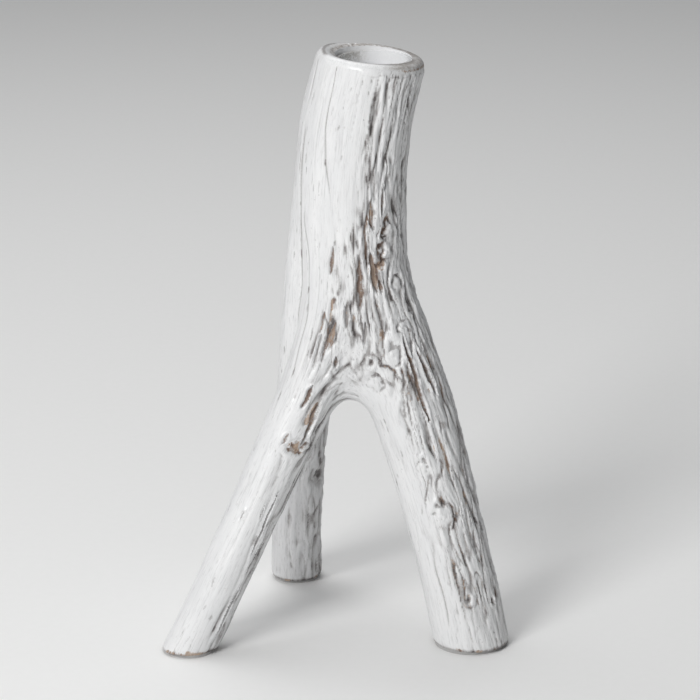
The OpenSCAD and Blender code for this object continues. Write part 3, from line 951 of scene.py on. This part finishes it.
# ---------------------------------------------------------------- materials
class Paint:
    """A material with a node tree that ends in one Principled surface."""

    def __init__(self, name):
        self.material = bpy.data.materials.new(name)
        self.material.use_nodes = True
        self.tree = self.material.node_tree
        self.tree.nodes.clear()
        self.body = self.add("BsdfPrincipled")
        self.add("OutputMaterial", {"Surface": self.body.outputs[0]})

    def add(self, kind, inputs=None, **settings):
        made = self.tree.nodes.new("ShaderNode" + kind)
        for key, value in settings.items():
            setattr(made, key, value)
        for key, value in (inputs or {}).items():
            self.set(made, key, value)
        return made

    def set(self, node, key, value):
        if isinstance(value, bpy.types.NodeSocket):
            self.tree.links.new(value, node.inputs[key])
        else:
            node.inputs[key].default_value = value

    def surface(self, **inputs):
        for key, value in inputs.items():
            self.set(self.body, key.replace("_", " "), value)

    def field(self, name):
        return self.add("Attribute", attribute_name=name).outputs["Fac"]

    def along_grain(self, across, up):
        """The grain's coordinates, scaled to bumps of that many millimetres across it and along it."""
        grain = self.add("Attribute", attribute_name="grain").outputs["Vector"]
        scale = (1 / across, 1 / across, 1 / up)
        return self.add("VectorMath", {0: grain, 1: scale}, operation="MULTIPLY").outputs[0]

    def in_space(self, size):
        """Object coordinates, scaled to bumps of that many millimetres."""
        place = self.add("TexCoord").outputs["Object"]
        return self.add("VectorMath", {0: place, "Scale": 1000 / size}, operation="SCALE").outputs[0]

    def noise(self, vector, detail=3.0, rough=0.55, bend=0.0):
        inputs = {"Vector": vector, "Scale": 1.0, "Detail": detail, "Roughness": rough, "Distortion": bend}
        return self.add("TexNoise", inputs).outputs["Fac"]

    def math(self, operation, a, b=0.0, c=0.0):
        return self.add("Math", {0: a, 1: b, 2: c}, operation=operation).outputs[0]

    def step(self, value, low, high, out_low=0.0, out_high=1.0):
        inputs = {"Value": value, "From Min": low, "From Max": high, "To Min": out_low, "To Max": out_high}
        return self.add("MapRange", inputs, interpolation_type="SMOOTHSTEP").outputs[0]

    def mix(self, share, a, b):
        made = self.add("Mix", data_type="RGBA")
        self.set(made, 0, share)
        self.set(made, 6, a)
        self.set(made, 7, b)
        return made.outputs[2]

    def bump(self, height, millimetres, normal=None):
        inputs = {"Height": height, "Distance": millimetres * MM, "Strength": 1.0}
        if normal is not None:
            inputs["Normal"] = normal
        return self.add("Bump", inputs).outputs[0]


def washed_wood(name):
    """White wash over brown wood: grey in the grooves, partly as painted shade, with painted shade in the
    hollows and on the rear leg below the fork, and worn through to the wood in places.
    """
    p = Paint(name)
    dark, brown, top, rough, rear_leg_shade, cavity = [p.field(f) for f in FIELDS]
    streaks = p.noise(p.along_grain(0.8, 13), 5.0, 0.62, 0.25)
    hairs = p.noise(p.along_grain(0.33, 9), 3.0, 0.6, 0.1)
    ticks = p.noise(p.along_grain(0.55, 3.2), 3.0, 0.6, 0.3)
    mottle = p.noise(p.along_grain(0.8, 2.0), 5.0, 0.72, 0.4)
    clouds = p.noise(p.along_grain(4.5, 26), 3.0, 0.5, 0.4)
    grit = p.noise(p.in_space(0.55), 4.0, 0.65)
    cells = p.add("TexVoronoi", {"Vector": p.in_space(2.3), "Scale": 1.0, "Randomness": 1.0})
    specks = cells.outputs["Distance"]

    white = p.mix(clouds, (0.70, 0.705, 0.715, 1), (0.88, 0.88, 0.88, 1))
    # Painted shade: the rear leg below the fork greyer, where the front legs shade it.
    white = p.mix(p.math("MULTIPLY", rear_leg_shade, 0.5), white, (0.54, 0.54, 0.55, 1))
    veil = p.math("MULTIPLY", p.step(streaks, 0.50, 0.78), p.step(clouds, 0.35, 0.65, 0.25, 1.0))
    veil = p.math("MULTIPLY", veil, p.math("MULTIPLY_ADD", rough, 0.50, 0.40))
    colour = p.mix(veil, white, (0.36, 0.36, 0.37, 1))
    hair = p.math("MULTIPLY", p.step(hairs, 0.55, 0.72), p.math("MULTIPLY_ADD", rough, 0.45, 0.28))
    colour = p.mix(hair, colour, (0.25, 0.245, 0.25, 1))
    tick = p.math("MULTIPLY", p.step(ticks, 0.56, 0.70), p.math("MULTIPLY_ADD", rough, 0.40, 0.16))
    colour = p.mix(tick, colour, (0.28, 0.27, 0.27, 1))
    # Painted shade: the wash greyer in the relief's hollows, by how deep they lie.
    cavity_shade = p.math("MULTIPLY", p.step(cavity, 0.03, 0.30), p.math("MULTIPLY_ADD", streaks, 1.1, 0.15))
    colour = p.mix(p.math("MULTIPLY", cavity_shade, 0.85), colour, (0.30, 0.285, 0.28, 1))
    # Grooves, pits, lines and hollows in grey: partly the wash's own grey, partly painted shade.
    groove = p.math("MULTIPLY", dark, p.math("MULTIPLY_ADD", grit, 0.9, 0.45))
    colour = p.mix(p.step(groove, 0.10, 1.0, 0.0, 0.90), colour, (0.16, 0.14, 0.135, 1))
    # Painted shadow: the darkest marks go near black.
    colour = p.mix(p.step(dark, 0.85, 1.0, 0.0, 0.65), colour, (0.05, 0.042, 0.04, 1))
    pits = p.math("MULTIPLY", p.step(specks, 0.16, 0.05), p.step(clouds, 0.55, 0.72))
    colour = p.mix(p.math("MULTIPLY", pits, 0.6), colour, (0.20, 0.19, 0.19, 1))
    edge = p.math("MULTIPLY_ADD", mottle, 3.0, brown)
    bare = p.step(edge, 1.95, 2.50)
    wood = p.mix(p.step(streaks, 0.34, 0.60), (0.15, 0.085, 0.055, 1), (0.48, 0.36, 0.27, 1))
    wood = p.mix(p.step(grit, 0.52, 0.68, 0.0, 0.6), wood, (0.16, 0.10, 0.08, 1))
    # Painted shade: bare wood darker in the relief's hollows.
    wood = p.mix(p.step(cavity, 0.10, 0.45, 0.0, 0.65), wood, (0.10, 0.055, 0.04, 1))
    colour = p.mix(p.math("MULTIPLY", bare, 0.92), colour, wood)
    worn_top = p.math("MULTIPLY", top, p.step(p.noise(p.in_space(1.4), 5.0, 0.75), 0.36, 0.60, 0.25, 0.85))
    colour = p.mix(worn_top, colour, (0.25, 0.215, 0.185, 1))

    relief = p.math("MULTIPLY_ADD", streaks, -0.55, p.math("MULTIPLY", hairs, -0.25))
    relief = p.math("MULTIPLY_ADD", grit, 0.16, relief)
    p.surface(
        Base_Color=colour,
        Roughness=p.math("MULTIPLY_ADD", grit, 0.16, p.math("MULTIPLY_ADD", bare, 0.25, 0.27)),
        Coat_Weight=0.25,
        Coat_Roughness=0.18,
        Normal=p.bump(relief, 0.22),
    )
    return p.material


def cup_enamel():
    p = Paint("cup_enamel")
    cloud = p.noise(p.in_space(6), 3.0, 0.5)
    grain = p.noise(p.in_space(0.5), 3.0, 0.6)
    specks = p.step(p.noise(p.in_space(1.1), 2.0, 0.5), 0.68, 0.76)
    colour = p.mix(cloud, (0.80, 0.81, 0.83, 1), (0.90, 0.90, 0.90, 1))
    # Dull, pebbled wash at the mouth, on the back left
    place = p.add("SeparateXYZ", {0: p.add("TexCoord").outputs["Object"]}).outputs
    leftward = p.math("MULTIPLY_ADD", place[1], -0.35, place[0])
    turn_x = float(RIM[0] - 0.35 * RIM[1]) * MM
    here = p.step(leftward, turn_x - 0.004, turn_x - 0.011)
    here = p.math("MULTIPLY", here, p.step(place[2], (cup_high[2] - 6) * MM, (cup_high[2] - 1) * MM))
    pebbles = p.noise(p.in_space(0.9), 5.0, 0.7, 0.6)
    dull = p.math("MULTIPLY", here, p.step(pebbles, 0.38, 0.62, 0.25, 0.95))
    colour = p.mix(dull, colour, p.mix(cloud, (0.33, 0.31, 0.27, 1), (0.52, 0.50, 0.46, 1)))
    p.surface(
        Base_Color=p.mix(p.math("MULTIPLY", specks, 0.35), colour, (0.42, 0.41, 0.40, 1)),
        Roughness=p.math("MULTIPLY_ADD", grain, 0.12, 0.12),
        Coat_Weight=0.5,
        Coat_Roughness=0.06,
        Normal=p.bump(p.math("MULTIPLY_ADD", dull, 1.5, p.math("MULTIPLY_ADD", cloud, 0.8, grain)), 0.1),
    )
    return p.material


def screw_steel():
    p = Paint("screw_steel")
    brushed = p.noise(p.in_space(0.25), 2.0, 0.5)
    stain = p.noise(p.in_space(1.6), 3.0, 0.6)
    p.surface(
        Base_Color=p.mix(stain, (0.42, 0.41, 0.40, 1), (0.62, 0.62, 0.62, 1)),
        Metallic=1.0,
        Roughness=p.math("MULTIPLY_ADD", brushed, 0.25, 0.22),
        Normal=p.bump(brushed, 0.02),
    )
    return p.material


def pad_felt():
    p = Paint("pad_felt")
    fluff = p.noise(p.in_space(0.35), 5.0, 0.7, 0.8)
    tone = p.noise(p.in_space(2.5), 3.0, 0.6)
    p.surface(
        Base_Color=p.mix(p.math("MULTIPLY", fluff, tone), (0.34, 0.335, 0.33, 1), (0.68, 0.675, 0.67, 1)),
        Roughness=0.95,
        Sheen_Weight=0.4,
        Normal=p.bump(fluff, 0.3),
    )
    return p.material


def dowel_wood():
    p = Paint("dowel_wood")
    place = p.add("TexCoord").outputs["Object"]
    long_way = p.add("VectorMath", {0: place, 1: (900, 900, 60)}, operation="MULTIPLY").outputs[0]
    grain = p.noise(long_way, 4.0, 0.6, 0.3)
    pores = p.noise(p.in_space(0.4), 2.0, 0.6)
    p.surface(
        Base_Color=p.mix(grain, (0.52, 0.36, 0.21, 1), (0.72, 0.56, 0.38, 1)),
        Roughness=p.math("MULTIPLY_ADD", pores, 0.2, 0.5),
        Normal=p.bump(grain, 0.06),
    )
    return p.material


def dress(piece, material):
    piece.data.materials.clear()
    piece.data.materials.append(material)


for piece in [trunk_bark, *leg_barks.values()]:
    piece.data.shade_smooth()
    piece.data.set_sharp_from_angle(angle=math.radians(55))
for bark_piece, node, name in (
    (trunk_bark, "stem", "washed_wood_trunk"),
    (leg_barks["left"], "left_leg", "washed_wood_left_leg"),
    (leg_barks["right"], "right_leg", "washed_wood_right_leg"),
    (leg_barks["rear"], "rear_leg", "washed_wood_rear_leg"),
):
    dress(bark_piece, washed_wood(name))
    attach(bark_piece, "root")
    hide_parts(node)
wood = dowel_wood()
for side in LEGS:
    dress(nodes[side + "_dowel"], wood)
felt = pad_felt()
for side in LEGS:
    dress(nodes[side + "_pad"], felt)
dress(nodes["candle_cup"], cup_enamel())
dress(nodes["cup_screw"], screw_steel())


# ---------------------------------------------------------------- floor, light and camera
def floor():
    p = Paint("floor_paper")
    fibres = p.noise(p.in_space(3), 4.0, 0.6)
    p.surface(
        Base_Color=p.mix(fibres, (0.87, 0.87, 0.865, 1), (0.90, 0.90, 0.895, 1)),
        Roughness=0.9,
    )
    bm = bmesh.new()
    bmesh.ops.create_grid(bm, x_segments=1, y_segments=1, size=6)
    mesh = bpy.data.meshes.new("floor")
    bm.to_mesh(mesh)
    bm.free()
    made = new_object("floor", mesh)
    made.location.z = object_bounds()[0][2]
    dress(made, p.material)
    made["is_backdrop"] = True


def lamp(name, place, aim, size, power, colour):
    light = bpy.data.lights.new(name, "AREA")
    light.shape = "RECTANGLE"
    light.size, light.size_y = size
    light.energy = power
    light.color = colour
    made = new_object(name, light)
    made.location = place
    made.rotation_euler = (Vector(aim) - Vector(place)).to_track_quat("-Z", "Y").to_euler()


LOOK_Z = 0.099
middle = Vector((0, float(RIM[1]) * MM, LOOK_Z))
floor()
lamp("key", (-0.60, -0.88, 0.70), middle, (0.45, 0.45), 8.6, (1.0, 0.997, 0.99))
lamp("front", (-0.25, -1.1, 0.35), middle, (0.5, 0.5), 1.5, (1.0, 1.0, 1.0))
lamp("overhead", (-0.15, 0.35, 1.1), middle, (1.0, 1.0), 7.0, (1.0, 1.0, 1.0))
world = bpy.data.worlds.new("studio")
world.use_nodes = True
world.node_tree.nodes["Background"].inputs["Color"].default_value = (0.96, 0.98, 1.0, 1)
world.node_tree.nodes["Background"].inputs["Strength"].default_value = 0.14
bpy.context.scene.world = world
bpy.context.scene.view_settings.view_transform = "Standard"

# Seen from the front, a little from above, with a long lens. The object stands off the picture's middle.
HEIGHT_ANGLE = math.radians(17.5)
DISTANCE = 1.23
AIM_RIGHT = 0.00496
AIM_DOWN = 0.00377
away = Vector((0, -math.cos(HEIGHT_ANGLE), math.sin(HEIGHT_ANGLE)))
upward = Vector((0, math.sin(HEIGHT_ANGLE), math.cos(HEIGHT_ANGLE)))
aim = middle + Vector((AIM_RIGHT, 0, 0)) - upward * AIM_DOWN
lens = bpy.data.cameras.new("camera")
lens.lens = 191.4
lens.sensor_width = 36
lens.dof.use_dof = False
camera = new_object("camera", lens)
camera.location = middle + away * DISTANCE
camera.rotation_euler = (aim - camera.location).to_track_quat("-Z", "Y").to_euler()
bpy.context.scene.camera = camera
